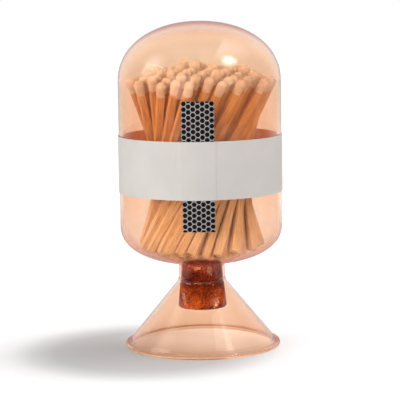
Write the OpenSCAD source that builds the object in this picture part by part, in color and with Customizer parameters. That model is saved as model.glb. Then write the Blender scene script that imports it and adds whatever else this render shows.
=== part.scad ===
// Glass match cloche: a blown dome on a conical foot, stopped from below by a tapered cork.
// A paper band and a striking strip are wrapped on the glass, and long matches stand inside.
// Millimetres, +Z up, origin on the table under the centre of the foot, front towards -Y.

/* [Glass body] */
// Outer diameter of the straight wall
body_d = 84.6; // [60:0.2:120]
// Wall of the body and the dome
body_wall = 1.8; // [1.2:0.1:4]
// Wall of the bowl under the matches
bowl_wall = 1.3; // [0.8:0.1:3]
// Height at which the bowl turns into the straight wall
bowl_z = 64.6; // [55:0.1:90]
// Depth of the bowl under the straight wall
bowl_depth = 20.9; // [12:0.1:30]
// Squareness of the bowl curve
bowl_power = 2.38; // [2:0.02:4]
// Height from the outer heads up to where the dome starts
dome_above = 1.7; // [0:0.1:10]
// Rise of the dome above the straight wall
dome_rise = 30.9; // [20:0.1:60]
// Squareness of the dome curve
dome_power = 2.12; // [2:0.02:4]
// Thickness of the crown, where blown glass gathers
crown_wall = 2.8; // [1.2:0.1:6]

/* [Neck and foot] */
// Wall of the neck at the cork's small end
neck_wall = 1.7; // [1:0.1:4]
// Length of the neck, from the bowl's lowest level to the hip
neck_length = 9.1; // [5:0.1:20]
// Wall at the hip, where the foot leaves the neck
hip_wall = 1.0; // [0.6:0.1:3]
// Radius of the bend from bowl to neck
neck_fillet = 1.6; // [0.5:0.1:4]
// Run of the blend from bowl to neck, on the outside
bowl_blend = 5.0; // [2:0.5:8]
// Run of the same blend on the inside
mouth_blend = 3.0; // [1:0.5:6]
// Outer diameter of the cone just above its lip
foot_d = 76.2; // [50:0.2:120]
// Height at which the cone meets its lip
foot_lip_z = 3.2; // [2:0.1:8]
// Wall of the foot, measured level
foot_wall = 2.0; // [1.5:0.1:5]
// Reach of the fire-polished lip past the cone
lip_flare = 2.6; // [1:0.1:5]
// Thickness of the lip's bead
lip_bead = 2.6; // [1.6:0.1:5]
// Radius of the bend from neck to foot
neck_bend = 6.0; // [1:0.5:12]

/* [Cork stopper] */
// Diameter of the cork's small end
cork_top_d = 20.2; // [14:0.1:36]
// Diameter of the cork's wide end
cork_bottom_d = 25.4; // [15:0.1:40]
// Length of the cork
cork_length = 26.0; // [15:0.1:40]
// Height by which the cork stands up past the bowl's lowest inside level
cork_proud = 1.0; // [0:0.1:2]
// Worn edge of both ends
cork_chamfer = 0.8; // [0.2:0.1:2]
// Gap between the cork and its seat
cork_gap = 0.05; // [0.01:0.01:0.1]

/* [Striking strip] */
// Width of the strip, measured around the glass
strip_width = 16.4; // [8:0.1:40]
// Height of the strip's lower edge above the bowl
strip_above = 1.0; // [0:0.1:10]
// Distance from the strip's upper edge up to the dome
strip_below = 7.6; // [1:0.1:40]
// Thickness of the strip
strip_thick = 0.3; // [0.2:0.05:1]
// Turn of the strip from the front, about the glass
strip_turn = -1.5; // [-180:0.5:180]

/* [Paper band] */
// Height of the band's lower edge above the bowl
band_above = 17.0; // [2:0.1:40]
// Height of the band
band_height = 29.4; // [10:0.1:60]
// Thickness of the paper
band_thick = 0.3; // [0.2:0.05:1]
// Play beside the strip, where the paper steps down to the glass
step_play = 0.45; // [0.2:0.05:2]
// Distance from the step to the glued seam
seam_past = 0.5; // [0.3:0.1:10]
// Width of the glued lap, which reaches past the strip's middle
seam_lap = 21; // [12:1:60]
// Play under the paper
band_gap = 0.05; // [0.02:0.01:0.3]

/* [Matches] */
// Side of the square splint
splint_side = 3.5; // [2:0.1:6]
// Length of a whole match
match_length = 101.5; // [60:0.5:120]
// Paste of the head over the corners of the splint
head_coat = 0.1; // [0.05:0.05:1]
// Length of the dipped head
head_length = 8.0; // [4:0.1:14]
// Space between neighbouring splints at the waist of the bundle
splint_play = 1.1; // [0.3:0.05:3]
// Space between the outer heads and the glass
tip_play = 0.6; // [0.3:0.1:5]
// Radius of the bundle's waist, as a part of its radius at the outer heads
waist_ratio = 0.639; // [0.3:0.001:0.9]
// Part of a splint's length that lies under the waist
under_waist = 0.42; // [0.3:0.01:0.6]
// Turn of the whole bundle
bundle_turn = 20; // [0:1:90]
// Largest amount that wedged matches ride up
lift = 5.5; // [0:0.5:12]
// Loose fit of each splint in the bundle
wander = 0.15; // [0:0.05:0.5]
// Gap between a splint's end and what it stands on
rest_gap = 0.2; // [0.05:0.05:1]

/* [Hidden] */
$fn = 96;

body_r = body_d / 2;
foot_r = foot_d / 2;
lip_r = foot_r + lip_flare;
bore_r = body_r - body_wall;
bowl_rise = bowl_depth - bowl_wall;
cork_top_z = bowl_z - bowl_rise + cork_proud;
cork_z = cork_top_z - cork_length;
cork_slope = (cork_bottom_d - cork_top_d) / 2 / cork_length;
neck_r = cork_top_d / 2 + cork_gap + neck_wall;
neck_z = bowl_z - bowl_depth - neck_length;

// Points of a quarter curve |r/a|^p + |z/b|^p = 1, from the angle t0 to t1
function oval(a, b, p, t0, t1, steps) = [
    for (i = [0:steps])
        let (t = t0 + (t1 - t0) * i / steps)
        [a * pow(max(cos(t), 0), 2 / p), b * pow(max(sin(t), 0), 2 / p)]
];
// The same curve's height at a radius
function oval_height(r, a, b, p) = b * pow(1 - pow(min(abs(r) / a, 0.999), p), 1 / p);
// The angle at which the curve reaches a radius
function oval_angle(r, a, p) = acos(pow(r / a, p / 2));
function unit(v) = v / norm(v);
// Arc that rounds the corner b of the line a-b-c
function bend(a, b, c, r, steps = 6) =
    let (
        u = unit(a - b),
        v = unit(c - b),
        half = acos(u * v) / 2,
        centre = b + unit(u + v) * r / sin(half),
        s = b + u * r / tan(half) - centre,
        e = b + v * r / tan(half) - centre,
        a0 = atan2(s[1], s[0]),
        turn = atan2(e[1], e[0]) - a0,
        sweep = turn > 180 ? turn - 360 : turn < -180 ? turn + 360 : turn
    )
    [for (i = [0:steps]) centre + r * [cos(a0 + sweep * i / steps), sin(a0 + sweep * i / steps)]];
function flip(points) = [for (i = [len(points) - 1:-1:0]) points[i]];
function shift(points, z, k = 1) = [for (p = points) [p[0], z + k * p[1]]];

// Radius of the cork's side at a height, and of the seat ground for it
function cork_r(z) = cork_top_d / 2 + (cork_top_z - z) * cork_slope;
function seat_r(z) = cork_r(z) + cork_gap;
// Height that a splint's foot needs at a radius, where its inner corner may stand on the cork
function floor_z(r) = max(
    bowl_z - oval_height(r, bore_r, bowl_rise, bowl_power),
    r - 1.1 * splint_side < cork_top_d / 2 ? cork_top_z : 0
);

// The outer splints lean until their heads come to the glass. Their lean sets the twist of
// the bundle, the height of its waist and the height at which the dome may start.
pitch = splint_side + splint_play;
corner_r = splint_side * sqrt(0.5);
head_r = corner_r + head_coat;
tip_r = bore_r - head_r - tip_play;
waist_r = waist_ratio * tip_r;
over_waist = (1 - under_waist) * match_length - head_r;
tip_run = sqrt(tip_r * tip_r - waist_r * waist_r);
lean = asin(tip_run / over_waist);
twist = tan(lean) / waist_r;
foot_run = under_waist * match_length * sin(lean);
edge = 0.4 * splint_side;
waist_z = floor_z(norm([waist_r, foot_run]) + edge) + under_waist * match_length * cos(lean);
dome_z = waist_z + over_waist * cos(lean) + dome_above;
match_cells = ceil(waist_r / pitch);
ring_limits = [0, 2.4 * pitch, 4.05 * pitch, waist_r + pitch];

/* Glass: one wall of revolution, drawn as its outer line and then its inner line */
module glass_section() {
    out_floor = [neck_r, bowl_z - oval_height(neck_r, body_r, bowl_depth, bowl_power)];
    out_start = oval_angle(neck_r + bowl_blend, body_r, bowl_power);
    mouth_z = bowl_z - oval_height(seat_r(cork_top_z), bore_r, bowl_rise, bowl_power);
    in_mouth = seat_r(mouth_z);
    in_floor = [in_mouth, mouth_z];
    in_start = oval_angle(in_mouth + mouth_blend, bore_r, bowl_power);
    foot_out = [foot_r, foot_lip_z];
    foot_in = [foot_r - foot_wall, foot_lip_z];
    hip_out = [seat_r(neck_z) + hip_wall, neck_z];
    hip_in = [seat_r(neck_z - hip_wall), neck_z - hip_wall];
    bowl_out = oval(body_r, bowl_depth, bowl_power, out_start, 0, 14);
    bowl_in = oval(bore_r, bowl_rise, bowl_power, in_start, 0, 14);
    dome_out = oval(body_r, dome_rise, dome_power, 0, 90, 20);
    dome_in = oval(bore_r, dome_rise - crown_wall, dome_power, 0, 90, 20);
    outer = concat(
        [foot_out],
        bend(foot_out, hip_out, out_floor, neck_bend),
        bend(hip_out, out_floor, shift(bowl_out, bowl_z, -1)[0], neck_fillet),
        shift(bowl_out, bowl_z, -1),
        shift(dome_out, dome_z)
    );
    inner = concat(
        [foot_in],
        bend(foot_in, hip_in, in_floor, neck_bend / 2),
        bend(hip_in, in_floor, shift(bowl_in, bowl_z, -1)[0], neck_fillet / 2),
        shift(bowl_in, bowl_z, -1),
        shift(dome_in, dome_z)
    );
    polygon(concat(outer, flip(inner)));
}
// The lip is turned out and melted round, with a narrow flat where it stands
module lip_section() {
    bead_r = lip_bead / 2;
    bead_z = bead_r - 0.25;
    intersection() {
        union() {
            translate([lip_r - bead_r, bead_z]) circle(r = bead_r);
            polygon([
                [lip_r - bead_r, bead_z - bead_r],
                [lip_r - bead_r, bead_z],
                [foot_r, foot_lip_z + 0.01],
                [foot_r - foot_wall, foot_lip_z + 0.01],
                [lip_r - lip_bead - 0.3, bead_z - bead_r]
            ]);
        }
        square([lip_r + 1, foot_lip_z + 0.01]);
    }
}
module glass_cloche() {
    color([0.96, 0.72, 0.58, 0.35])
        rotate_extrude() {
            glass_section();
            lip_section();
        }
}

/* Cork: a turned taper with its edges broken */
module cork_stopper() {
    c = cork_chamfer;
    color([0.45, 0.22, 0.1])
        rotate_extrude()
            polygon([
                [0, cork_z],
                [cork_r(cork_z) - c, cork_z],
                [cork_r(cork_z + c), cork_z + c],
                [cork_r(cork_top_z - c), cork_top_z - c],
                [cork_top_d / 2 - c, cork_top_z],
                [0, cork_top_z]
            ]);
}

/* Wraps: thin sheets bent to the glass */
// Wedge of the plane about the front, from the angle a0 to a1
module wedge(a0, a1, r) {
    mid = (a0 + a1) / 2;
    half = (a1 - a0) / 2;
    rotate(mid - 90)
        polygon([[0, 0], [r, -r * tan(half)], [r, r * tan(half)]]);
}
module arc_sheet(a0, a1, r, thick) {
    intersection() {
        difference() {
            circle(r = r + thick);
            circle(r = r);
        }
        wedge(a0, a1, 2 * r);
    }
}
// Angle that a length takes up around the glass
function around(length) = length / body_r * 180 / PI;
strip_z = bowl_z + strip_above;
strip_half = around(strip_width / 2);
strip_top_r = body_r + strip_thick;
step_half = strip_half + around(step_play);
seam_turn = strip_turn + step_half + around(seam_past);
module striker_strip() {
    color([0.2, 0.2, 0.22])
        translate([0, 0, strip_z])
            linear_extrude(dome_z - strip_below - strip_z)
                arc_sheet(strip_turn - strip_half, strip_turn + strip_half, body_r, strip_thick);
}
// The band runs round the glass, steps up over the strip and laps over itself at the seam.
// The step is drawn to the strip's middle, where the lap has taken over.
module band_section() {
    base_r = body_r + band_gap;
    step_r = strip_top_r + band_gap;
    step_start = strip_turn - step_half - around(band_thick);
    difference() {
        union() {
            circle(r = base_r + band_thick);
            arc_sheet(step_start, strip_turn, base_r, step_r - base_r + band_thick);
            arc_sheet(seam_turn - around(seam_lap), seam_turn, base_r, step_r - base_r + 2 * band_thick);
        }
        circle(r = base_r);
        arc_sheet(strip_turn - step_half, strip_turn + step_half, base_r - 1, step_r - base_r + 1);
    }
}
module paper_band() {
    color([0.9, 0.88, 0.84])
        translate([0, 0, bowl_z + band_above])
            linear_extrude(band_height)
                band_section();
}

/* Matches: every splint is a straight line of one twisted bundle */
// At its waist the bundle is a square stack. A splint at the point p there runs along
// [-twist * p.y, twist * p.x, 1], so every level slice is the same stack turned and spread,
// and no two splints ever cross.
function wob(i, s) = let (v = sin(i * 127.1 + s * 311.7) * 437.5) 2 * (v - floor(v)) - 1;
function turned(p, a) = [p[0] * cos(a) - p[1] * sin(a), p[0] * sin(a) + p[1] * cos(a)];
function cells(k) = [
    for (row = [-match_cells:match_cells], col = [-match_cells:match_cells])
        let (r = norm([col, row]) * pitch)
        if (r <= waist_r && r >= ring_limits[k] && r < ring_limits[k + 1]) [col, row]
];
// Waist point, direction, height of the foot and roll of the match in a cell
function match_at(cell) =
    let (
        id = (cell[1] + 20) * 41 + cell[0] + 20,
        q = turned(cell * pitch, bundle_turn),
        free = 1 - pow(norm(q) / (1.03 * waist_r), 2),
        p = q + wander * free * [wob(id, 1), wob(id, 2)],
        d = twist * [-p[1], p[0]] + 0.0026 * (0.25 + 0.75 * free) * [wob(id, 3), wob(id, 4)],
        stretch = norm([d[0], d[1], 1]),
        drop = corner_r * sqrt(1 - 1 / stretch / stretch),
        z1 = floor_z(norm(p + d * (cork_top_z - waist_z)) + edge) + drop,
        z2 = floor_z(norm(p + d * (z1 - waist_z)) + edge) + drop,
        rise = lift * (0.12 + 0.88 * free) * pow(0.5 + 0.5 * wob(id, 5), 2)
    )
    [p, d, z2 + rest_gap + rise, 4 * (0.2 + 0.8 * free) * wob(id, 6)];
// Places a child that is drawn along +Z at the foot of a match
module stand(m) {
    p = m[0] + m[1] * (m[2] - waist_z);
    axis = [m[1][0], m[1][1], 1];
    translate([p[0], p[1], m[2]])
        rotate([0, acos(1 / norm(axis)), atan2(axis[1], axis[0])])
            rotate(bundle_turn - atan2(axis[1], axis[0]) + m[3])
                children();
}
module splint() {
    translate([-splint_side / 2, -splint_side / 2, 0])
        cube([splint_side, splint_side, match_length - head_r]);
}
// A head hugs the splint's end: it widens to a round bulb, and the splint fills its socket
module head() {
    z0 = match_length - head_length;
    mid = head_length - head_r;
    difference() {
        translate([0, 0, z0])
            rotate_extrude()
                polygon(concat(
                    [[0, 0], [corner_r + head_coat / 2, 0]],
                    shift(oval(head_r, head_r, 2, 0, 90, 6), mid)
                ));
        splint();
    }
}
module splints(k) {
    color([0.86, 0.62, 0.4])
        for (cell = cells(k))
            stand(match_at(cell)) splint();
}
module heads(k) {
    color([0.9, 0.78, 0.68])
        for (cell = cells(k))
            stand(match_at(cell)) head();
}
module splints_core() { splints(0); }
module splints_middle() { splints(1); }
module splints_outer() { splints(2); }
module heads_core() { heads(0); }
module heads_middle() { heads(1); }
module heads_outer() { heads(2); }

glass_cloche();
cork_stopper();
striker_strip();
paper_band();
splints_core();
splints_middle();
splints_outer();
heads_core();
heads_middle();
heads_outer();
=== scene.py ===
# %% [markdown]
# A glass cloche of matches.
# One blown piece of peach glass makes the dome, the neck and the open foot. Long matches stand
# inside in a twisted bundle, a tapered cork stops the neck from below, and a paper band holds a
# striking strip against the front of the glass.
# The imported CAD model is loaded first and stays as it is. Each node is then replaced by a piece
# of the same size and place that carries the real finish.

# %% Load the frame
import math

import bmesh
import bpy
from mathutils import Matrix, Vector


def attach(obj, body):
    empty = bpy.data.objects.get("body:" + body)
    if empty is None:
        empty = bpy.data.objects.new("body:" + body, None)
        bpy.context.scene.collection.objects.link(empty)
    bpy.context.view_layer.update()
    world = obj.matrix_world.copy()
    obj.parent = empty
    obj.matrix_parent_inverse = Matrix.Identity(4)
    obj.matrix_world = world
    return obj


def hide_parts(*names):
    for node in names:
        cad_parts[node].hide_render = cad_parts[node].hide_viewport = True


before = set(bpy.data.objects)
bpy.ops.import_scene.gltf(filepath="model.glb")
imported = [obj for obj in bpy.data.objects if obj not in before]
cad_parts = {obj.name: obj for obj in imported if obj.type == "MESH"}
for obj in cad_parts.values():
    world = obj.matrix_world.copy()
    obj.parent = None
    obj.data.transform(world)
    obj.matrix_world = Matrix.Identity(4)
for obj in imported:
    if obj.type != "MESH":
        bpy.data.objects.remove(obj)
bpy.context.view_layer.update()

# %% [markdown]
# The sizes are the ones that the CAD model uses, in millimetres. They are written once here, and
# every piece below takes its shape from them, so the pieces seat on each other as they do in CAD.

# %% Sizes
MM = 0.001
BODY_R, WALL, BOWL_WALL = 42.3, 1.8, 1.3
BOWL_Z, BOWL_DEPTH, BOWL_POWER = 64.6, 20.9, 2.38
DOME_Z, DOME_RISE, DOME_POWER, CROWN = 138.70, 30.9, 2.12, 2.8
NECK_R, NECK_Z, HIP_WALL, NECK_BEND, NECK_FILLET = 11.85, 34.6, 1.0, 6.0, 1.6
FOOT_R, FOOT_LIP_Z, FOOT_WALL = 38.1, 3.2, 2.0
LIP_R, LIP_BEAD = 40.7, 2.6
CORK_TOP_R, CORK_FOOT_R, CORK_LENGTH, CORK_Z, CORK_GAP = 10.1, 12.7, 26.0, 20.0, 0.05
CORK_TOP_Z = CORK_Z + CORK_LENGTH
BORE_R = BODY_R - WALL
BOWL_RISE = BOWL_DEPTH - BOWL_WALL
print("height", DOME_Z + DOME_RISE, "mm, width of the glass", 2 * BODY_R, "mm")

# %% [markdown]
# The photographer stood almost a metre away with a long lens, a little above the object, and the
# picture leans by under a degree. A camera is set from those facts, and not by eye: distance and
# height fix the perspective, the lens fixes the size, and a small roll gives the lean.

# %% Camera
CAMERA_AT, CAMERA_DOWN, CAMERA_ROLL = (-0.0005, -0.945, 0.200), 7.452, -0.83


def make_camera():
    data = bpy.data.cameras.new("camera")
    data.lens = 164.2
    data.sensor_width = 36.0
    camera = bpy.data.objects.new("camera", data)
    tilt = Matrix.Rotation(math.radians(90 - CAMERA_DOWN), 4, "X")
    roll = Matrix.Rotation(math.radians(CAMERA_ROLL), 4, "Z")
    camera.matrix_world = Matrix.Translation(CAMERA_AT) @ tilt @ roll
    bpy.context.collection.objects.link(camera)
    bpy.context.scene.camera = camera
    return camera


camera = make_camera()
bpy.context.scene.view_settings.view_transform = "Standard"
print("camera", tuple(round(v, 3) for v in camera.location))

# %% [markdown]
# Small helpers come next. A finished bmesh becomes an object at the origin, with its place in its
# mesh, because the CAD nodes are stored the same way and patterns on Object coordinates then stay
# put. A round piece is spun from a line of points, and its doubles are merged so that it closes.

# %% Helpers for pieces
def finish_piece(bm, name, body, replaces, materials, smooth=True):
    """Makes a bmesh an object that stands for CAD nodes and rides on a body."""
    mesh = bpy.data.meshes.new(name)
    bm.to_mesh(mesh)
    bm.free()
    for material in materials:
        mesh.materials.append(material)
    for polygon in mesh.polygons:
        polygon.use_smooth = smooth
    piece = bpy.data.objects.new(name, mesh)
    bpy.context.collection.objects.link(piece)
    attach(piece, body)
    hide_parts(*replaces)
    print(name, len(mesh.polygons), "faces")


def spin_line(bm, points, steps, merge):
    """Spins points of the XZ plane once round the Z axis and merges what meets."""
    verts = [bm.verts.new(point) for point in points]
    edges = [bm.edges.new(pair) for pair in zip(verts, verts[1:])]
    bmesh.ops.spin(bm, geom=verts + edges, cent=(0, 0, 0), axis=(0, 0, 1), dvec=(0, 0, 0),
                   angle=math.tau, steps=steps, use_merge=True)
    bmesh.ops.remove_doubles(bm, verts=bm.verts, dist=merge)


def lathe(bm, line, steps):
    """Spins a line of (radius, height) points, in millimetres, into a closed surface."""
    spin_line(bm, [(r * MM, 0, z * MM) for r, z in line], steps, merge=1e-7)
    bmesh.ops.recalc_face_normals(bm, faces=bm.faces)


def around(r, turn, z):
    """A point in metres, from a radius and a height in millimetres and a turn in radians."""
    return r * math.cos(turn) * MM, r * math.sin(turn) * MM, z * MM


def new_verts(made):
    """The vertices among the things that an extrusion made."""
    return [item for item in made["geom"] if isinstance(item, bmesh.types.BMVert)]


# %% [markdown]
# A material is a small tree of nodes. Writing each link by hand hides what the tree does, so these
# helpers take either a plain value or the output of another node for every input, and a tree can
# then be read from top to bottom like a recipe.

# %% Helpers for materials
def feed(tree, socket, value):
    """Links an output to a socket, or sets the socket's plain value."""
    if isinstance(value, bpy.types.NodeSocket):
        tree.links.new(value, socket)
    else:
        socket.default_value = value


def fill(tree, node, values):
    """Feeds a node's inputs by name, with _ for a space, and sets its other settings."""
    for key, value in values.items():
        name = key.replace("_", " ")
        if name in node.inputs:
            feed(tree, node.inputs[name], value)
        else:
            setattr(node, key, value)
    return node


def add(tree, kind, **values):
    return fill(tree, tree.nodes.new(kind), values)


def new_material(name, **sockets):
    """A material with its Principled shader, whose own sockets take the constants."""
    material = bpy.data.materials.new(name)
    material.use_nodes = True
    tree = material.node_tree
    return material, tree, fill(tree, tree.nodes["Principled BSDF"], sockets)


# %% [markdown]
# Every look below is put together from a few steps: a sum, a range, a ramp of colours, a product
# of two colours, a choice by the kind of ray. Each gets a short name here and gives back its
# output, so one step can stand inside the next.

# %% Steps of a material
def calculate(tree, operation, *values, clamp=False):
    node = add(tree, "ShaderNodeMath", operation=operation, use_clamp=clamp)
    for socket, value in zip(node.inputs, values):
        feed(tree, socket, value)
    return node.outputs[0]


def in_range(tree, value, low, high, start=0.0, end=1.0):
    """Turns the range low to high into start to end, and stops at both ends."""
    node = add(tree, "ShaderNodeMapRange", Value=value, From_Min=low, From_Max=high,
               To_Min=start, To_Max=end)
    return node.outputs["Result"]


def ramp(tree, factor, stops):
    """A colour for each part of 0 to 1. A stop is a place and a colour."""
    node = tree.nodes.new("ShaderNodeValToRGB")
    feed(tree, node.inputs[0], factor)
    while len(node.color_ramp.elements) < len(stops):
        node.color_ramp.elements.new(0.5)
    for element, (place, colour) in zip(node.color_ramp.elements, stops):
        element.position = place
        element.color = (*colour, 1)
    return node.outputs[0]


def mixed(tree, first, second, factor=1.0, blend="MULTIPLY"):
    """The first colour times the second, or another blend of the two, by a factor."""
    node = add(tree, "ShaderNodeMix", data_type="RGBA", blend_type=blend)
    for index, value in ((0, factor), (6, first), (7, second)):
        feed(tree, node.inputs[index], value)
    return node.outputs[2]


def chosen(tree, factor, first, second):
    """The first number where the factor is 0, and the second where it is 1."""
    node = add(tree, "ShaderNodeMix", data_type="FLOAT")
    for index, value in ((0, factor), (2, first), (3, second)):
        feed(tree, node.inputs[index], value)
    return node.outputs[0]


def mix_shaders(tree, factor, first, second):
    node = tree.nodes.new("ShaderNodeMixShader")
    for socket, value in zip(node.inputs, (factor, first, second)):
        feed(tree, socket, value)
    return node.outputs[0]


# %% [markdown]
# Patterns read the place on the object, in metres, so a scale of 1000 makes grains of about a
# millimetre. Small relief comes from a bump, which changes how the surface is lit and moves no
# point. It is enough for powder, paper tooth and grain, and larger forms are modelled.

# %% Patterns and bumps
def object_place(tree):
    return add(tree, "ShaderNodeTexCoord").outputs["Object"]


def along_axis(tree, place, axis):
    return add(tree, "ShaderNodeSeparateXYZ", Vector=place).outputs[axis]


def noise(tree, place, scale, detail, **values):
    node = add(tree, "ShaderNodeTexNoise", Vector=place, Scale=scale, Detail=detail, **values)
    return node.outputs["Fac"]


def add_bump(tree, shader, height, strength, distance):
    bump = add(tree, "ShaderNodeBump", Height=height, Strength=strength, Distance=distance)
    feed(tree, shader.inputs["Normal"], bump.outputs[0])


# %% [markdown]
# The outline of the glass is built from three kinds of line: straight runs on the foot, small
# bends at the neck, and flattened ovals for the bowl and the dome. These functions give them as
# points. The oval is the curve |r/a|^p + |z/b|^p = 1, which is a little squarer than an ellipse.

# %% Lines of the glass
def oval(a, b, power, start, end, steps):
    points = []
    for i in range(steps + 1):
        t = math.radians(start + (end - start) * i / steps)
        points.append(Vector((a * max(math.cos(t), 0) ** (2 / power),
                              b * max(math.sin(t), 0) ** (2 / power))))
    return points


def oval_height(r, a, b, power):
    return b * (1 - min(abs(r) / a, 0.999) ** power) ** (1 / power)


def oval_angle(r, a, power):
    return math.degrees(math.acos((r / a) ** (power / 2)))


def bend(a, b, c, radius, steps=8):
    """Rounds the corner b of the line a-b-c."""
    a, b, c = Vector(a), Vector(b), Vector(c)
    u, v = (a - b).normalized(), (c - b).normalized()
    half = math.acos(u.dot(v)) / 2
    centre = b + (u + v).normalized() * radius / math.sin(half)
    start = b + u * radius / math.tan(half) - centre
    end = b + v * radius / math.tan(half) - centre
    first = math.atan2(start.y, start.x)
    sweep = (math.atan2(end.y, end.x) - first + math.pi) % math.tau - math.pi
    turns = [first + sweep * i / steps for i in range(steps + 1)]
    return [centre + radius * Vector((math.cos(turn), math.sin(turn))) for turn in turns]


def raised(points, z, sign=1):
    return [Vector((p.x, z + sign * p.y)) for p in points]


# %% [markdown]
# Blown glass has one wall with an outside and an inside, and light bends at both. The piece is
# therefore a closed shell: the outer line runs up from the lip to the crown, and the inner line
# runs back down to the lip, which is turned out and melted round. The neck's bore is ground to the
# taper of the cork, so its radius is the cork's plus a hair.

# %% Seat of the cork
def cork_r(z):
    return CORK_TOP_R + (CORK_TOP_Z - z) * (CORK_FOOT_R - CORK_TOP_R) / CORK_LENGTH


def seat_r(z):
    return cork_r(z) + CORK_GAP


print("seat of the cork", round(seat_r(NECK_Z), 2), "mm in radius at the hip")

# %% [markdown]
# The outline falls into four forms. The lip is a melted bead that stands flat, the bowl and the
# dome are quarters of an oval, and the wall between them is straight. The outside and the inside
# of the glass use the same functions with their own radii.

# %% Forms of the outline
BOWL_STEPS, DOME_STEPS, LIP_STEPS, WALL_STEPS = 26, 44, 14, 6
LIP_SWEEP, LIP_SINK = 118, 0.25


def lip_points():
    """The melted bead, from its flat underside out and up over the cone."""
    bead = LIP_BEAD / 2
    bead_z = bead - LIP_SINK
    low = math.degrees(math.asin(bead_z / bead))
    turns = [math.radians(-low + (low + LIP_SWEEP) * i / LIP_STEPS) for i in range(LIP_STEPS + 1)]
    return [Vector((LIP_R - bead + bead * math.cos(t), bead_z + bead * math.sin(t))) for t in turns]


def bowl_points(r, depth, start_r):
    start = oval_angle(start_r, r, BOWL_POWER)
    return raised(oval(r, depth, BOWL_POWER, start, 0, BOWL_STEPS), BOWL_Z, -1)


def wall_points(r):
    rise = (DOME_Z - BOWL_Z) / WALL_STEPS
    return [Vector((r, BOWL_Z + rise * i)) for i in range(1, WALL_STEPS)]


def dome_points(r, rise):
    return raised(oval(r, rise, DOME_POWER, 0, 90, DOME_STEPS), DOME_Z)


# %% [markdown]
# Smooth shading blends the normals over a whole face, and a lens made by such a blend would bend
# the light wrongly. So each long run gets two more points close to its ends, which hold its
# normals straight.

# %% Glass outline
HOLD, LONG_RUN = 0.3, 1.2
BEND_ROOM_OUT, BEND_ROOM_IN = 5, 3


def held(line):
    """Adds a point near each end of every long run of a line."""
    points = [line[0]]
    for start, end in zip(line, line[1:]):
        step = (end - start).normalized() * HOLD
        if (end - start).length > LONG_RUN:
            points += [start + step, end - step]
        points.append(end)
    return [tuple(point) for point in points]


def outer_line():
    foot = (FOOT_R, FOOT_LIP_Z)
    hip = (seat_r(NECK_Z) + HIP_WALL, NECK_Z)
    floor = (NECK_R, BOWL_Z - oval_height(NECK_R, BODY_R, BOWL_DEPTH, BOWL_POWER))
    bowl = bowl_points(BODY_R, BOWL_DEPTH, NECK_R + BEND_ROOM_OUT)
    return (lip_points() + bend(foot, hip, floor, NECK_BEND) + bend(hip, floor, bowl[0], NECK_FILLET)
            + bowl + wall_points(BODY_R) + dome_points(BODY_R, DOME_RISE))


def inner_line():
    foot = (FOOT_R - FOOT_WALL, FOOT_LIP_Z)
    hip = (seat_r(NECK_Z - HIP_WALL), NECK_Z - HIP_WALL)
    mouth_z = BOWL_Z - oval_height(seat_r(CORK_TOP_Z), BORE_R, BOWL_RISE, BOWL_POWER)
    mouth = (seat_r(mouth_z), mouth_z)
    bowl = bowl_points(BORE_R, BOWL_RISE, mouth[0] + BEND_ROOM_IN)
    return ([Vector((LIP_R - LIP_BEAD - 0.1, 0)), Vector(foot)]
            + bend(foot, hip, mouth, NECK_BEND / 2) + bend(hip, mouth, bowl[0], NECK_FILLET / 2)
            + bowl + wall_points(BORE_R) + dome_points(BORE_R, DOME_RISE - CROWN))


glass_outline = held(outer_line()) + held(inner_line())[::-1]
print("glass outline", len(glass_outline), "points")

# %% [markdown]
# Tinted glass takes its colour from its depth, and blown glass is nowhere equally thick: the lip
# and the seam between neck and bowl gathered more of it than the bowl, which was blown thin. One
# tint for the whole piece would lose that, so the tint of a wall follows the height. The crown is
# thick in the mesh itself and takes a paler one. Where the glass is seen edge-on the light runs a
# long way inside it, and a Layer Weight deepens the crown, the underside of the bowl and the lip.

# %% Tint of the glass
def glass_tint(tree):
    """The colour that one wall lets through, by height in parts of 170 mm."""
    lip, low_cone, cone = (0.86, 0.64, 0.50), (0.92, 0.70, 0.55), (0.93, 0.76, 0.635)
    body, seam, bowl = (0.925, 0.735, 0.60), (0.93, 0.60, 0.46), (0.92, 0.775, 0.67)
    wall, crown = (0.915, 0.71, 0.57), (1.0, 0.87, 0.75)
    height = in_range(tree, along_axis(tree, object_place(tree), "Z"), 0.0, 0.17)
    tint = ramp(tree, height, [
        (0.013, lip), (0.024, low_cone), (0.10, cone), (0.221, body), (0.254, seam), (0.265, seam),
        (0.279, bowl), (0.395, bowl), (0.489, body), (0.602, wall), (0.715, wall), (0.79, body),
        (0.913, crown)])
    edge = ramp(tree, height, [
        (0.02, (0.62, 0.34, 0.28)), (0.04, (1, 1, 1)), (0.25, (1, 1, 1)), (0.262, (0.60, 0.22, 0.18)),
        (0.32, (0.75, 0.45, 0.38)), (0.37, (1, 1, 1)), (0.93, (1, 1, 1)), (0.985, (0.72, 0.42, 0.46))])
    facing = add(tree, "ShaderNodeLayerWeight", Blend=0.5).outputs["Facing"]
    return mixed(tree, tint, edge, in_range(tree, facing, 0.60, 0.80))


# %% [markdown]
# The shader is a Principled one with full transmission, and a Volume Absorption makes long paths
# redder still. Lamps can't shine through a refracting wall in a path tracer, so shadow rays meet a
# tinted transparent shader in its place. So do rays that were mirrored more than twice: they would
# go round inside the wall until they are cut off, and leave it dark.

# %% Glass
SPIN_STEPS, MIRRORED_ENOUGH = 144, 2.5


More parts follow.
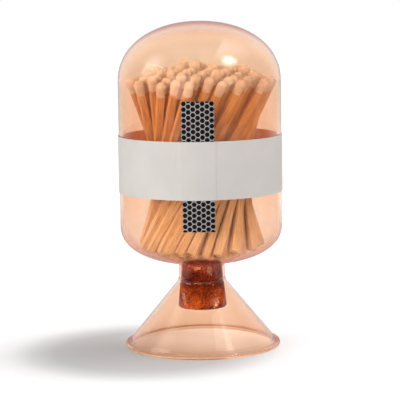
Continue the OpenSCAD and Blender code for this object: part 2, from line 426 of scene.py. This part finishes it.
def glass_material():
    material, tree, shader = new_material("peach_glass", Roughness=0.0, IOR=1.47, Transmission_Weight=1.0)
    feed(tree, shader.inputs["Base Color"], glass_tint(tree))
    clear = add(tree, "ShaderNodeBsdfTransparent", Color=(0.99, 0.972, 0.955, 1))
    path = tree.nodes.new("ShaderNodeLightPath").outputs
    caught = calculate(tree, "GREATER_THAN", path["Glossy Depth"], MIRRORED_ENOUGH)
    straight = calculate(tree, "MAXIMUM", caught, path["Is Shadow Ray"])
    depth = add(tree, "ShaderNodeVolumeAbsorption", Color=(0.93, 0.45, 0.05, 1), Density=60.0)
    output = tree.nodes["Material Output"]
    feed(tree, output.inputs["Surface"], mix_shaders(tree, straight, shader.outputs[0], clear.outputs[0]))
    feed(tree, output.inputs["Volume"], depth.outputs[0])
    return material


def make_glass():
    bm = bmesh.new()
    lathe(bm, glass_outline + glass_outline[:1], SPIN_STEPS)
    finish_piece(bm, "glass_cloche_blown", "cloche", ["glass_cloche"],
                 [glass_material()])


make_glass()

# %% [markdown]
# Cork is bark: brown and dry, with small dark pits. A fine noise and a coarse one share the ramp
# of browns, and a Voronoi pattern gives the pits, in the colour and in the bump. A ramp over its
# height darkens the part that sits in the neck, and a little the part below it: painted shade for
# the glass around it. The coarse noise makes the edge of that painted shade uneven.

# %% Cork bark
def cork_material():
    material, tree, shader = new_material("cork_bark", Roughness=0.85, Specular_IOR_Level=0.08)
    place = object_place(tree)
    pits = add(tree, "ShaderNodeTexVoronoi", Vector=place, Scale=1100.0, Randomness=1.0).outputs["Distance"]
    grain = noise(tree, place, 1300.0, 3.0, Roughness=0.7)
    patches = noise(tree, place, 90.0, 3.0)
    both = calculate(tree, "MULTIPLY", calculate(tree, "ADD", grain, patches), 0.5)
    bark = ramp(tree, both, [(0.40, (0.09, 0.014, 0.002)), (0.5, (0.40, 0.070, 0.003)),
                             (0.60, (0.80, 0.195, 0.012))])
    pitted = mixed(tree, bark, ramp(tree, pits, [(0.24, (0.06, 0.03, 0.02)), (0.50, (1, 1, 1))]))
    uneven = calculate(tree, "MULTIPLY_ADD", patches, 0.006, along_axis(tree, place, "Z"))
    # Painted shade: the cork is darker where the neck of the glass surrounds it.
    neck_shade = ramp(tree, in_range(tree, uneven, 0.023, 0.048), [
        (0.40, (0.80, 0.70, 0.60)), (0.52, (0.32, 0.14, 0.10)), (0.78, (0.42, 0.22, 0.18)),
        (0.88, (1, 1, 1))])
    feed(tree, shader.inputs["Base Color"], mixed(tree, pitted, neck_shade))
    add_bump(tree, shader, pits, 0.5, 0.0004)
    return material


# %% [markdown]
# The plug is turned to a taper and its edges are worn, so it is a spun outline. At the front it
# touches the neck: a patch with a ragged edge stands out by a hair more than the gap, and the
# glass shows it without a film of air between.

# %% Cork plug
WORN_EDGE = 0.8
PATCH, PATCH_LOW, PATCH_HIGH, PATCH_TURN, PATCH_REACH = 0.06, 35.0, 40.5, -1.5, 0.85


def make_cork():
    bm = bmesh.new()
    low, high = CORK_Z + WORN_EDGE, CORK_TOP_Z - WORN_EDGE
    line = [(0, CORK_Z), (cork_r(CORK_Z) - WORN_EDGE, CORK_Z), (cork_r(low), low)]
    line += [(cork_r(z), z) for z in range(22, 45)]
    line += [(cork_r(high), high), (CORK_TOP_R - WORN_EDGE, CORK_TOP_Z), (0, CORK_TOP_Z)]
    lathe(bm, line, 96)
    for vert in bm.verts:
        z, turn = vert.co.z / MM, math.atan2(vert.co.y, vert.co.x)
        ragged = 1.2 * math.sin(3 * turn + 1) + 0.7 * math.sin(7 * turn) + 0.4 * math.sin(13 * turn + 2)
        off_middle = abs(turn - PATCH_TURN)
        if PATCH_LOW < z < PATCH_HIGH + ragged and off_middle < PATCH_REACH + 0.08 * ragged:
            vert.co.x += PATCH * MM * math.cos(turn)
            vert.co.y += PATCH * MM * math.sin(turn)
    finish_piece(bm, "cork_plug", "stopper", ["cork_stopper"], [cork_material()])


make_cork()

# %% [markdown]
# The bundle is a square stack at its waist, and every match is a straight line of one twist. The
# same rule placed the solids in CAD: a match at the point p of the waist leans along
# (-twist * p.y, twist * p.x, 1), so the level slices are the same stack turned and spread, and the
# matches fan out above and below without crossing. A sine hash gives each its small differences.

# %% Sizes of the bundle
SPLINT, MATCH_LENGTH, HEAD_R, HEAD_LENGTH = 3.5, 101.5, 2.575, 8.0
PITCH, WAIST_R, WAIST_Z, TWIST, TURN = 4.6, 23.851, 88.576, 0.024859, 20.0
LIFT, WANDER, LEAN_WANDER, ROLL_WANDER, REST_GAP = 5.5, 0.15, 0.0026, 4, 0.2
CORE_R, MIDDLE_R = 2.4 * PITCH, 4.05 * PITCH
RINGS = {"core": (0, CORE_R), "middle": (CORE_R, MIDDLE_R), "outer": (MIDDLE_R, WAIST_R + PITCH)}


def match_number(col, row):
    return (row + 20) * 41 + col + 20


def wobble(number, salt):
    """A number from -1 to 1 that is always the same for a match and a salt."""
    value = math.sin(math.radians(number * 127.1 + salt * 311.7)) * 437.5
    return 2 * (value - math.floor(value)) - 1


def floor_z(r):
    """The height of what a match stands on: the bowl, or the cork's top in the middle."""
    bowl = BOWL_Z - oval_height(r, BORE_R, BOWL_RISE, BOWL_POWER)
    return max(bowl, CORK_TOP_Z if r - 1.1 * SPLINT < CORK_TOP_R else 0)


print("waist", round(2 * WAIST_R, 1), "mm wide at", round(WAIST_Z, 1), "mm")

# %% [markdown]
# Each match then gets its place as one matrix: where its foot comes to rest on the bowl or on the
# cork, how it leans, and how it is rolled about itself. The small differences fade towards the
# outside of the bundle, where the glass leaves no room for them.

# %% Places of the matches
def match_place(col, row):
    """The matrix, in millimetres, that stands a match drawn along +Z in its place."""
    number = match_number(col, row)
    at = Vector((col, row)) * PITCH
    at.rotate(Matrix.Rotation(math.radians(TURN), 2))
    free = 1 - (at.length / (1.03 * WAIST_R)) ** 2
    p = at + WANDER * free * Vector((wobble(number, 1), wobble(number, 2)))
    stray = LEAN_WANDER * (0.25 + 0.75 * free) * Vector((wobble(number, 3), wobble(number, 4)))
    d = TWIST * Vector((-p.y, p.x)) + stray
    lean = math.sqrt(d.length_squared + 1)
    drop = SPLINT * math.sqrt(0.5) * math.sqrt(1 - 1 / lean / lean)
    z = CORK_TOP_Z
    for _ in range(2):
        z = floor_z((p + d * (z - WAIST_Z)).length + 0.4 * SPLINT) + drop
    z += REST_GAP + LIFT * (0.12 + 0.88 * free) * (0.5 + 0.5 * wobble(number, 5)) ** 2
    foot = p + d * (z - WAIST_Z)
    heading = math.atan2(d.y, d.x)
    roll = math.radians(TURN + ROLL_WANDER * (0.2 + 0.8 * free) * wobble(number, 6)) - heading
    return (Matrix.Translation((foot.x, foot.y, z)) @ Matrix.Rotation(heading, 4, "Z")
            @ Matrix.Rotation(math.acos(1 / lean), 4, "Y") @ Matrix.Rotation(roll, 4, "Z"))


def ring_matches(ring):
    low, high = RINGS[ring]
    reach = math.ceil(WAIST_R / PITCH)
    places = []
    for row in range(-reach, reach + 1):
        for col in range(-reach, reach + 1):
            r = math.hypot(col, row) * PITCH
            if r <= WAIST_R and low <= r < high:
                places.append((match_number(col, row), match_place(col, row)))
    return places


print({ring: len(ring_matches(ring)) for ring in RINGS}, "matches")

# %% [markdown]
# Each splint is sawn from soft pale wood, so its grain runs along it and no two have quite the
# same tone. The grain is a noise stretched along the splint. It reads a UV map whose V axis runs
# along each splint, with a shift of its own, so that the pattern follows the lean of each one. The
# tone comes from an attribute that holds one number a splint. Towards the heads the wood is
# painted darker and warmer: painted shade, because the lower part gets more light bounced up from
# the floor through the bowl.

# %% Splint wood
TOP_SHADE_LOW, TOP_SHADE_HIGH = 0.070, 0.115


def wood_material():
    material, tree, shader = new_material("splint_wood", Roughness=0.7, Specular_IOR_Level=0.2)
    uv = add(tree, "ShaderNodeUVMap", uv_map="grain").outputs[0]
    stretch = add(tree, "ShaderNodeMapping", Vector=uv, Scale=(1.0, 0.045, 1.0)).outputs[0]
    fibres = noise(tree, stretch, 1.7, 7.0, Roughness=0.7)
    tone = add(tree, "ShaderNodeAttribute", attribute_name="tone").outputs["Fac"]
    light = ramp(tree, fibres, [(0.36, (0.68, 0.37, 0.15)), (0.5, (0.93, 0.64, 0.34)),
                                (0.64, (0.98, 0.78, 0.48))])
    shade = ramp(tree, tone, [(0.0, (0.86, 0.80, 0.72)), (1.0, (1.0, 1.0, 1.0))])
    height = in_range(tree, along_axis(tree, object_place(tree), "Z"), TOP_SHADE_LOW, TOP_SHADE_HIGH)
    # Painted shade: the wood is darker and warmer towards the heads, by height.
    top_shade = ramp(tree, height, [(0.0, (1.0, 1.0, 1.0)), (1.0, (0.86, 0.66, 0.44))])
    feed(tree, shader.inputs["Base Color"], mixed(tree, mixed(tree, light, shade), top_shade))
    add_bump(tree, shader, fibres, 0.35, 0.0002)
    return material


# %% [markdown]
# One splint is drawn along +Z as a bar with softened edges, and copied into each place. The bar
# stops inside the head, as the real one does under its paste.

# %% Splints
def splint_pattern():
    """One bevelled splint along +Z, in millimetres, with its grain along V."""
    bm = bmesh.new()
    long = MATCH_LENGTH - HEAD_R
    verts = bmesh.ops.create_cube(bm, size=1.0)["verts"]
    bmesh.ops.scale(bm, vec=(SPLINT, SPLINT, long), verts=verts)
    bmesh.ops.translate(bm, vec=(0, 0, long / 2), verts=verts)
    bmesh.ops.bevel(bm, geom=bm.edges[:], offset=0.16, offset_type="OFFSET", segments=2,
                    profile=0.5, affect="EDGES", material=-1)
    bmesh.ops.recalc_face_normals(bm, faces=bm.faces)
    grain = bm.loops.layers.uv.new("grain")
    for face in bm.faces:
        side = abs(face.normal.x) > abs(face.normal.y)
        for loop in face.loops:
            at = loop.vert.co
            loop[grain].uv = (at.y + 7 if side else at.x, at.z)
    mesh = bpy.data.meshes.new("splint_pattern")
    bm.to_mesh(mesh)
    bm.free()
    return mesh


def make_splints(ring, pattern, material):
    bm = bmesh.new()
    grain = bm.loops.layers.uv.new("grain")
    tone = bm.faces.layers.float.new("tone")
    for number, place in ring_matches(ring):
        first_vert, first_face = len(bm.verts), len(bm.faces)
        bm.from_mesh(pattern)
        bm.verts.ensure_lookup_table()
        bm.faces.ensure_lookup_table()
        for face in bm.faces[first_face:]:
            face[tone] = 0.5 + 0.5 * wobble(number, 8)
            for loop in face.loops:
                loop[grain].uv += Vector((3.1 * (number % 97), 17.0 * (number % 13)))
        bmesh.ops.transform(bm, matrix=Matrix.Scale(MM, 4) @ place, verts=bm.verts[first_vert:])
    finish_piece(bm, "splints_" + ring + "_wood", "cloche", ["splints_" + ring],
                 [material], smooth=False)


wood = wood_material()
pattern = splint_pattern()
for ring in RINGS:
    make_splints(ring, pattern, wood)
bpy.data.meshes.remove(pattern)

# %% [markdown]
# A head is paste that the splint was dipped in: a rounded bulb that thins to an edge on the wood.
# It is a small spun outline with a chalky cream colour and a powdery bump.

# %% Paste of the heads
HEAD_FOOT, HEAD_MIDDLE = MATCH_LENGTH - HEAD_LENGTH, HEAD_LENGTH - HEAD_R


def head_material():
    material, tree, shader = new_material("head_paste", Roughness=0.8)
    place = object_place(tree)
    stains = noise(tree, place, 380.0, 2.0)
    colour = ramp(tree, stains, [(0.3, (0.72, 0.56, 0.42)), (0.6, (0.82, 0.67, 0.53))])
    feed(tree, shader.inputs["Base Color"], colour)
    add_bump(tree, shader, noise(tree, place, 2600.0, 4.0, Roughness=0.7), 0.2, 0.0001)
    return material


def head_pattern():
    """One plain head on the end of a match along +Z, in millimetres."""
    bm = bmesh.new()
    line = [(1.6, 0.0), (1.8, 0.15), (1.95, 1.0), (2.15, 2.2), (2.4, 3.4), (2.53, 4.5)]
    line += [tuple(p) for p in raised(oval(HEAD_R, HEAD_R, 2, 0, 90, 6), HEAD_MIDDLE)]
    spin_line(bm, [(r, 0, HEAD_FOOT + z) for r, z in line], 16, merge=1e-4)
    bmesh.ops.holes_fill(bm, edges=[edge for edge in bm.edges if edge.is_boundary], sides=0)
    bmesh.ops.recalc_face_normals(bm, faces=bm.faces)
    mesh = bpy.data.meshes.new("head_pattern")
    bm.to_mesh(mesh)
    bm.free()
    return mesh


# %% [markdown]
# Each copy is made a little lumpy in its own way. Below its widest place the paste hugs the square
# splint: it may thin to a film there, but no corner of the wood comes through it.

# %% Match heads
FILM, CORNER_R = 0.04, 2.41


def swell(vert, number):
    """How much wider than the plain head this vertex stands."""
    side, r = math.atan2(vert.co.y, vert.co.x), math.hypot(vert.co.x, vert.co.y)
    hug = min(SPLINT / 2 / max(abs(math.cos(side)), abs(math.sin(side))), CORNER_R) + FILM
    lump = 0.97 + 0.02 * math.sin(2 * side + number) + 0.01 * math.sin(3 * side - number + vert.co.z)
    if r > 0 and vert.co.z < HEAD_FOOT + HEAD_MIDDLE:
        lump = max(lump, hug / r)
    return lump


def make_heads(ring, pattern, material):
    bm = bmesh.new()
    for number, place in ring_matches(ring):
        first = len(bm.verts)
        bm.from_mesh(pattern)
        bm.verts.ensure_lookup_table()
        for vert in bm.verts[first:]:
            lump = swell(vert, number)
            vert.co.x *= lump
            vert.co.y *= lump
        bmesh.ops.transform(bm, matrix=Matrix.Scale(MM, 4) @ place, verts=bm.verts[first:])
    finish_piece(bm, "heads_" + ring + "_paste", "cloche", ["heads_" + ring],
                 [material])


paste = head_material()
pattern = head_pattern()
for ring in RINGS:
    make_heads(ring, pattern, paste)
bpy.data.meshes.remove(pattern)

# %% [markdown]
# The striking strip is pale card printed with rows of dark gritty hexagons. All of it is drawn
# flat first, cut, and then bent to the glass, because cutting a flat sheet is simple. Card and
# grit share one material recipe: fine specks in the colour and in the bump.

# %% Striking strip
STRIP_W, STRIP_Z, STRIP_L, STRIP_T, STRIP_TURN = 16.4, 65.6, 65.5, 0.3, -1.5
HEX_R, HEX_COL, HEX_ROW, PAD_T = 1.34, 2.32, 2.8, 0.07
UPRIGHT = Matrix.Rotation(math.radians(90), 3, "X")


def trim(bm, half, length):
    """Cuts a flat sheet to its width and length and closes the cuts."""
    for normal, at in (((1, 0, 0), half), ((-1, 0, 0), -half), ((0, 0, 1), length), ((0, 0, -1), 0)):
        centre = (at, 0, 0) if normal[0] else (0, 0, at)
        cut = bmesh.ops.bisect_plane(bm, geom=bm.verts[:] + bm.edges[:] + bm.faces[:],
                                     plane_co=centre, plane_no=normal, clear_outer=True)
        rim = [edge for edge in cut["geom_cut"] if isinstance(edge, bmesh.types.BMEdge)]
        bmesh.ops.holes_fill(bm, edges=rim, sides=0)


def bend_to_glass(bm, turn):
    """Wraps a flat piece on the glass: x runs round it, z up, and -y is the height above it."""
    for vert in bm.verts:
        angle = vert.co.x / BODY_R + math.radians(turn - 90)
        vert.co = around(BODY_R - vert.co.y, angle, STRIP_Z + vert.co.z)


def grit_material(name, colour, roughness, shine, grit):
    material, tree, shader = new_material(name, Roughness=roughness, Specular_IOR_Level=shine)
    specks = noise(tree, object_place(tree), 3000.0, 3.0)
    shade = ramp(tree, specks, [(0.3, tuple(c * 0.75 for c in colour)), (0.7, colour)])
    feed(tree, shader.inputs["Base Color"], shade)
    add_bump(tree, shader, specks, grit, 0.0001)
    return material


# %% [markdown]
# The card is a grid that is stood upright, stretched to its size and given its thickness. It has
# enough columns to follow the round of the glass. Its front lies a little below the full
# thickness of the strip, which leaves the rest to the pads.

# %% Card of the strip
CARD_COLUMNS, CARD_FRONT, CARD_T = 24, STRIP_T - 0.06, STRIP_T - 0.08


def make_strip():
    bm = bmesh.new()
    verts = bmesh.ops.create_grid(bm, x_segments=CARD_COLUMNS, y_segments=1, size=0.5)["verts"]
    bmesh.ops.rotate(bm, cent=(0, 0, 0), matrix=UPRIGHT, verts=verts)
    bmesh.ops.scale(bm, vec=(STRIP_W, 1, STRIP_L), verts=verts)
    bmesh.ops.translate(bm, vec=(0, -CARD_FRONT, STRIP_L / 2), verts=verts)
    bmesh.ops.solidify(bm, geom=bm.faces[:], thickness=CARD_T)
    bend_to_glass(bm, STRIP_TURN)
    bmesh.ops.recalc_face_normals(bm, faces=bm.faces)
    card = grit_material("strip_card", (0.45, 0.42, 0.41), 0.75, 0.3, 0.2)
    finish_piece(bm, "strip_card", "cloche", ["striker_strip"], [card], smooth=False)


make_strip()

# %% [markdown]
# Each hexagon of grit is a real pad, a hair thick, so that it catches the light at its rim. The
# pads stand in columns, every second one half a row higher. They are laid past the edges of the
# card and then trimmed with it, so the outermost ones are cut through, as on real card.

# %% Grit pads of the strip
def make_pads():
    bm = bmesh.new()
    turn = UPRIGHT @ Matrix.Rotation(math.radians(30), 3, "Z")
    for column in range(-4, 5):
        shift = 0 if column % 2 else HEX_ROW / 2
        for row in range(-1, math.ceil(STRIP_L / HEX_ROW) + 2):
            verts = bmesh.ops.create_circle(bm, cap_ends=True, radius=HEX_R, segments=6)["verts"]
            bmesh.ops.rotate(bm, cent=(0, 0, 0), matrix=turn, verts=verts)
            bmesh.ops.translate(bm, vec=(column * HEX_COL, 0, row * HEX_ROW + shift), verts=verts)
    thick = bmesh.ops.extrude_face_region(bm, geom=bm.faces[:])
    bmesh.ops.translate(bm, vec=(0, -PAD_T, 0), verts=new_verts(thick))
    trim(bm, STRIP_W / 2, STRIP_L)
    bmesh.ops.translate(bm, vec=(0, -(STRIP_T - PAD_T), 0), verts=bm.verts[:])
    bend_to_glass(bm, STRIP_TURN)
    bmesh.ops.recalc_face_normals(bm, faces=bm.faces)
    grit = grit_material("strip_grit", (0.007, 0.006, 0.007), 0.5, 0.12, 0.6)
    finish_piece(bm, "strip_pads", "cloche", ["striker_strip"], [grit], smooth=False)


make_pads()

# %% [markdown]
# The band is one sheet of uncoated paper, off-white outside with a little tooth. Its inside,
# seen through the tinted glass at the back, is given an orange colour: a painted glow for the light
# from outside that soaks through the thin sheet and the glass. Subsurface scattering on the inside
# face lets some of that light through as well.

# %% Paper
BAND_Z, BAND_H, BAND_T, BAND_GAP = 81.6, 29.4, 0.3, 0.05
SEAM_TURN, SEAM_LAP = 10.89, 21.0


def paper_material(name, pale, shaded, soak):
    material, tree, shader = new_material(
        name, Roughness=0.85, Subsurface_Weight=soak, Subsurface_Radius=(1, 1, 1), Subsurface_Scale=0.0008)
    place = object_place(tree)
    clouds = noise(tree, place, 60.0, 3.0)
    feed(tree, shader.inputs["Base Color"], ramp(tree, clouds, [(0.35, shaded), (0.65, pale)]))
    add_bump(tree, shader, noise(tree, place, 900.0, 8.0, Roughness=0.7), 0.25, 0.0001)
    return material


# %% [markdown]
# The sheet lies on the glass, steps up over the strip with a short slope on either side, and laps
# over itself at a glued seam, where it is twice as thick. Two rings of points with those offsets
# are bridged and then extruded upwards.

# %% Paper band
SNUG, SLOPE_END, BAND_STEPS = 0.6, 2.4, 360


def band_height_at(turn):
    """How far the paper's inside stands off the glass, and how thick it is, at a turn in degrees."""
    off = BAND_GAP
    reach = abs(turn - STRIP_TURN) - math.degrees(STRIP_W / 2 / BODY_R)
    if reach < SNUG:
        off += STRIP_T
    elif reach < SLOPE_END:
        off += STRIP_T * (SLOPE_END - reach) / (SLOPE_END - SNUG)
    lapped = SEAM_TURN - math.degrees(SEAM_LAP / BODY_R) <= turn <= SEAM_TURN
    return off, BAND_T * (2 if lapped else 1)


def faces_inwards(face):
    centre = face.calc_center_median()
    return face.normal.dot(Vector((centre.x, centre.y, 0))) < -0.5 * BODY_R * MM


def make_band():
    bm = bmesh.new()
    low, high = [], []
    for i in range(BAND_STEPS):
        turn = -180 + 360 * i / BAND_STEPS
        off, thick = band_height_at(turn)
        for ring, r in ((low, BODY_R + off), (high, BODY_R + off + thick)):
            ring.append(bm.verts.new(around(r, math.radians(turn - 90), BAND_Z)))
    edges = [bm.edges.new((ring[i], ring[(i + 1) % BAND_STEPS]))
             for ring in (low, high) for i in range(BAND_STEPS)]
    bmesh.ops.bridge_loops(bm, edges=edges)
    grown = bmesh.ops.extrude_face_region(bm, geom=bm.faces[:])
    bmesh.ops.translate(bm, vec=(0, 0, BAND_H * MM), verts=new_verts(grown))
    bmesh.ops.recalc_face_normals(bm, faces=bm.faces)
    for face in bm.faces:
        face.material_index = 1 if faces_inwards(face) else 0
    outside = paper_material("band_outside", (0.53, 0.50, 0.475), (0.50, 0.47, 0.445), 0.0)
    # The inside's orange colour is a painted glow of light through the sheet and the tinted glass.
    inside = paper_material("band_inside_painted_glow", (1.0, 0.50, 0.08), (0.97, 0.45, 0.06), 1.0)
    finish_piece(bm, "band_sheet", "cloche", ["paper_band"], [outside, inside],
                 smooth=False)


make_band()

# %% [markdown]
# The object stands on a plain white surface. To light that bounces, the floor is nearly white. To
# the camera, straight or through the glass, its own colour is a darker grey, and a glow is added
# to it. The glow grows with the distance from a point just left of the foot, so the floor is white
# far away, and around that point it stays grey: painted shade that deepens the soft shadow beside
# the foot. Under the open foot, seen through the glass, a painted pool of light is added. More
# light on the object would wash it out.

# %% Floor white
FLOOR_HALF = 3.0


def grey(value):
    return (value, value, value)


def part_away(tree, place, centre):
    """How far a point is from a centre, in parts of half the floor's width."""
    x, y = centre
    moved = add(tree, "ShaderNodeMapping", Vector=place, Location=(-x, -y, 0.0)).outputs[0]
    away = add(tree, "ShaderNodeVectorMath", operation="LENGTH", Vector=moved).outputs["Value"]
    return calculate(tree, "MULTIPLY", away, 1 / FLOOR_HALF)


def floor_lift(tree, place):
    """The glow that is added: none near a point left of the foot, which is painted shade there, and a
    painted pool of light under the open foot.
    """
    # Painted shade: no glow near a point just left of the foot deepens the shadow there.
    glow_round_painted_shade = ramp(tree, part_away(tree, place, (-0.030, -0.016)), [
        (0.0150, grey(0)), (0.0165, grey(0.045)), (0.0205, grey(0.20)), (0.0245, grey(0.42)),
        (0.032, grey(0.49)), (0.045, grey(0.54)), (0.08, grey(0.59)), (0.33, grey(0.68)),
        (0.85, grey(0.81))])
    # Painted light: a glow on the floor under the open foot, seen through the glass.
    painted_light_under_foot = ramp(tree, part_away(tree, place, (0.0, 0.012)), [
        (0.0, grey(0.30)), (0.006, grey(0.24)), (0.0125, grey(0.05)), (0.0138, grey(0))])
    return calculate(tree, "ADD", glow_round_painted_shade, painted_light_under_foot)


# %% [markdown]
# What the glass mirrors is a different matter. A studio is dark behind the camera, so for mirrored
# rays the floor is painted dark in front of the object, and behind the object a dusky red: painted
# reflections, which draw the outlines of the glass. Sharp refraction counts as glossy too in Cycles,
# so pure reflections are the glossy rays less the transmitted ones.

# %% Floor
def floor_material():
    material, tree, shader = new_material("floor_white", Roughness=0.6, Specular_IOR_Level=0.2,
                                          Emission_Color=(1, 1, 1, 1))
    path = tree.nodes.new("ShaderNodeLightPath").outputs
    place = object_place(tree)
    depth = along_axis(tree, place, "Y")
    seen = calculate(tree, "MAXIMUM", path["Is Camera Ray"], path["Is Transmission Ray"])
    mirrored = calculate(tree, "SUBTRACT", path["Is Glossy Ray"], path["Is Transmission Ray"], clamp=True)
    direct = calculate(tree, "LESS_THAN", path["Diffuse Depth"], 0.5)
    faded = chosen(tree, direct, path["Is Glossy Ray"], mirrored)
    front = calculate(tree, "MULTIPLY", in_range(tree, depth, -0.12, -0.24), faded)
    room = in_range(tree, front, 0.0, 1.0, 1.0, 0.12)
    tone = calculate(tree, "MULTIPLY", in_range(tree, seen, 0.0, 1.0, 0.9, 0.60), room)
    # Painted reflection: mirrored rays see the floor dusky red behind the object.
    behind = ramp(tree, in_range(tree, depth, -0.2, 0.6), [
        (0.24, (1, 1, 1)), (0.33, (0.62, 0.34, 0.34)), (0.70, (0.62, 0.36, 0.36)), (0.90, (1, 1, 1))])
    feed(tree, shader.inputs["Base Color"], mixed(tree, tone, behind, mirrored))
    lift = calculate(tree, "MULTIPLY", floor_lift(tree, place), seen)
    feed(tree, shader.inputs["Emission Strength"], calculate(tree, "MULTIPLY", lift, room))
    return material


def make_floor():
    bm = bmesh.new()
    bmesh.ops.create_grid(bm, x_segments=1, y_segments=1, size=FLOOR_HALF)
    bmesh.ops.translate(bm, vec=(0, 0, -0.0002), verts=bm.verts)
    mesh = bpy.data.meshes.new("floor")
    bm.to_mesh(mesh)
    bm.free()
    mesh.materials.append(floor_material())
    floor = bpy.data.objects.new("floor", mesh)
    bpy.context.collection.objects.link(floor)
    print("floor", 2 * FLOOR_HALF, "m wide")


make_floor()

# %% [markdown]
# The world lights the object evenly at half strength and is white to the camera. In the glass it
# is a room: white in front and behind, and grey at the sides, so that the bent edges of the glass
# pick up a darker line. Mirrored rays see the room dark where the camera stood. Light that the
# matches scatter out through the glass counts as glossy as well, and a room that is white on two
# sides would light them too strongly. A test of the Diffuse Depth keeps it dark in front for
# that light.

# %% World
DARK, SIDE = (0.10, 0.095, 0.11), (0.40, 0.38, 0.42)


def make_world():
    world = bpy.data.worlds.new("world")
    bpy.context.scene.world = world
    world.use_nodes = True
    tree = world.node_tree
    path = tree.nodes.new("ShaderNodeLightPath").outputs
    light = fill(tree, tree.nodes["Background"], {"Color": (1, 1, 1, 1), "Strength": 0.5})
    white = add(tree, "ShaderNodeBackground", Color=(1, 1, 1, 1), Strength=1.0)
    depth = along_axis(tree, add(tree, "ShaderNodeTexCoord").outputs["Generated"], "Y")
    direct = calculate(tree, "LESS_THAN", path["Diffuse Depth"], 0.5)
    both_ways = chosen(tree, direct, depth, calculate(tree, "ABSOLUTE", depth))
    through = ramp(tree, in_range(tree, both_ways, -0.3, 1.0), [
        (0.0, DARK), (0.385, SIDE), (0.77, (1.0, 1.0, 1.0))])
    mirrored = ramp(tree, in_range(tree, depth, -0.3, 1.0), [
        (0.0, DARK), (0.385, SIDE), (0.77, (0.95, 0.94, 0.97)), (0.87, (0.90, 0.88, 0.92)),
        (0.96, (0.38, 0.33, 0.40))])
    tone = mixed(tree, mirrored, through, path["Is Transmission Ray"], blend="MIX")
    room = add(tree, "ShaderNodeBackground", Color=tone, Strength=1.0)
    seen = calculate(tree, "MAXIMUM", path["Is Camera Ray"], path["Is Transmission Ray"])
    plain = mix_shaders(tree, seen, light.outputs[0], white.outputs[0])
    shown = mix_shaders(tree, path["Is Glossy Ray"], plain, room.outputs[0])
    feed(tree, tree.nodes["World Output"].inputs["Surface"], shown)
    print("world", len(tree.nodes), "nodes")


make_world()

# %% [markdown]
# Eight soft boxes light the object. Three of them are there to be mirrored in the glass and light
# nothing else: a wide panel whose straight edge draws the pane on the dome, a small one for the
# hot spot, and a weak one for the haze at the left. Their places were found by reflecting the line
# of sight at the highlights of the photograph, and a narrow spread gives them soft edges. The
# others light the matches, the paper and the floor and are kept out of the reflections. The one
# that hangs high at the right throws the shadow to the left, and a faint narrow one behind
# shines on the back of the paper.

# %% Lamps
def soft_box(name, at, target, size, watts, spread=180, mirrored=True, scattered=True, through=True):
    data = bpy.data.lights.new(name, "AREA")
    data.shape = "RECTANGLE"
    data.size, data.size_y = size
    data.energy, data.spread = watts, math.radians(spread)
    lamp = bpy.data.objects.new(name, data)
    lamp.location = at
    lamp.rotation_euler = (Vector(target) - Vector(at)).to_track_quat("-Z", "Y").to_euler()
    lamp.visible_glossy = mirrored
    lamp.visible_diffuse = scattered
    lamp.visible_transmission = through
    bpy.context.collection.objects.link(lamp)


MIDDLE, HEADS = (0, 0, 0.1), (0, 0, 0.15)
soft_box("panel_right", (0.90, 0.0, 1.15), (0.45, 0, -0.25), (1.2, 1.1), 1.15, 70, scattered=False)
soft_box("hot_spot", (0.60, -0.36, 0.92), HEADS, (0.50, 0.36), 0.15, 24, scattered=False)
soft_box("haze_left", (-0.80, -0.10, 0.80), HEADS, (0.7, 0.7), 0.14, 38, scattered=False)
soft_box("left_fill", (-0.95, -0.20, 0.55), MIDDLE, (0.6, 0.6), 4.4, mirrored=False)
soft_box("overhead", (1.05, 0.30, 0.95), MIDDLE, (0.9, 0.9), 9.5, mirrored=False, through=False)
soft_box("front_fill", (-0.62, -1.30, 0.32), MIDDLE, (0.9, 0.6), 9.6, mirrored=False)
soft_box("back_glow", (0, 0.9, 0.11), (0, 0, 0.096), (0.2, 0.06), 0.03, 12, mirrored=False, through=False)
soft_box("low_fill", (0.90, -1.00, 0.25), (0, 0, 0.08), (0.6, 0.4), 2.8, mirrored=False)
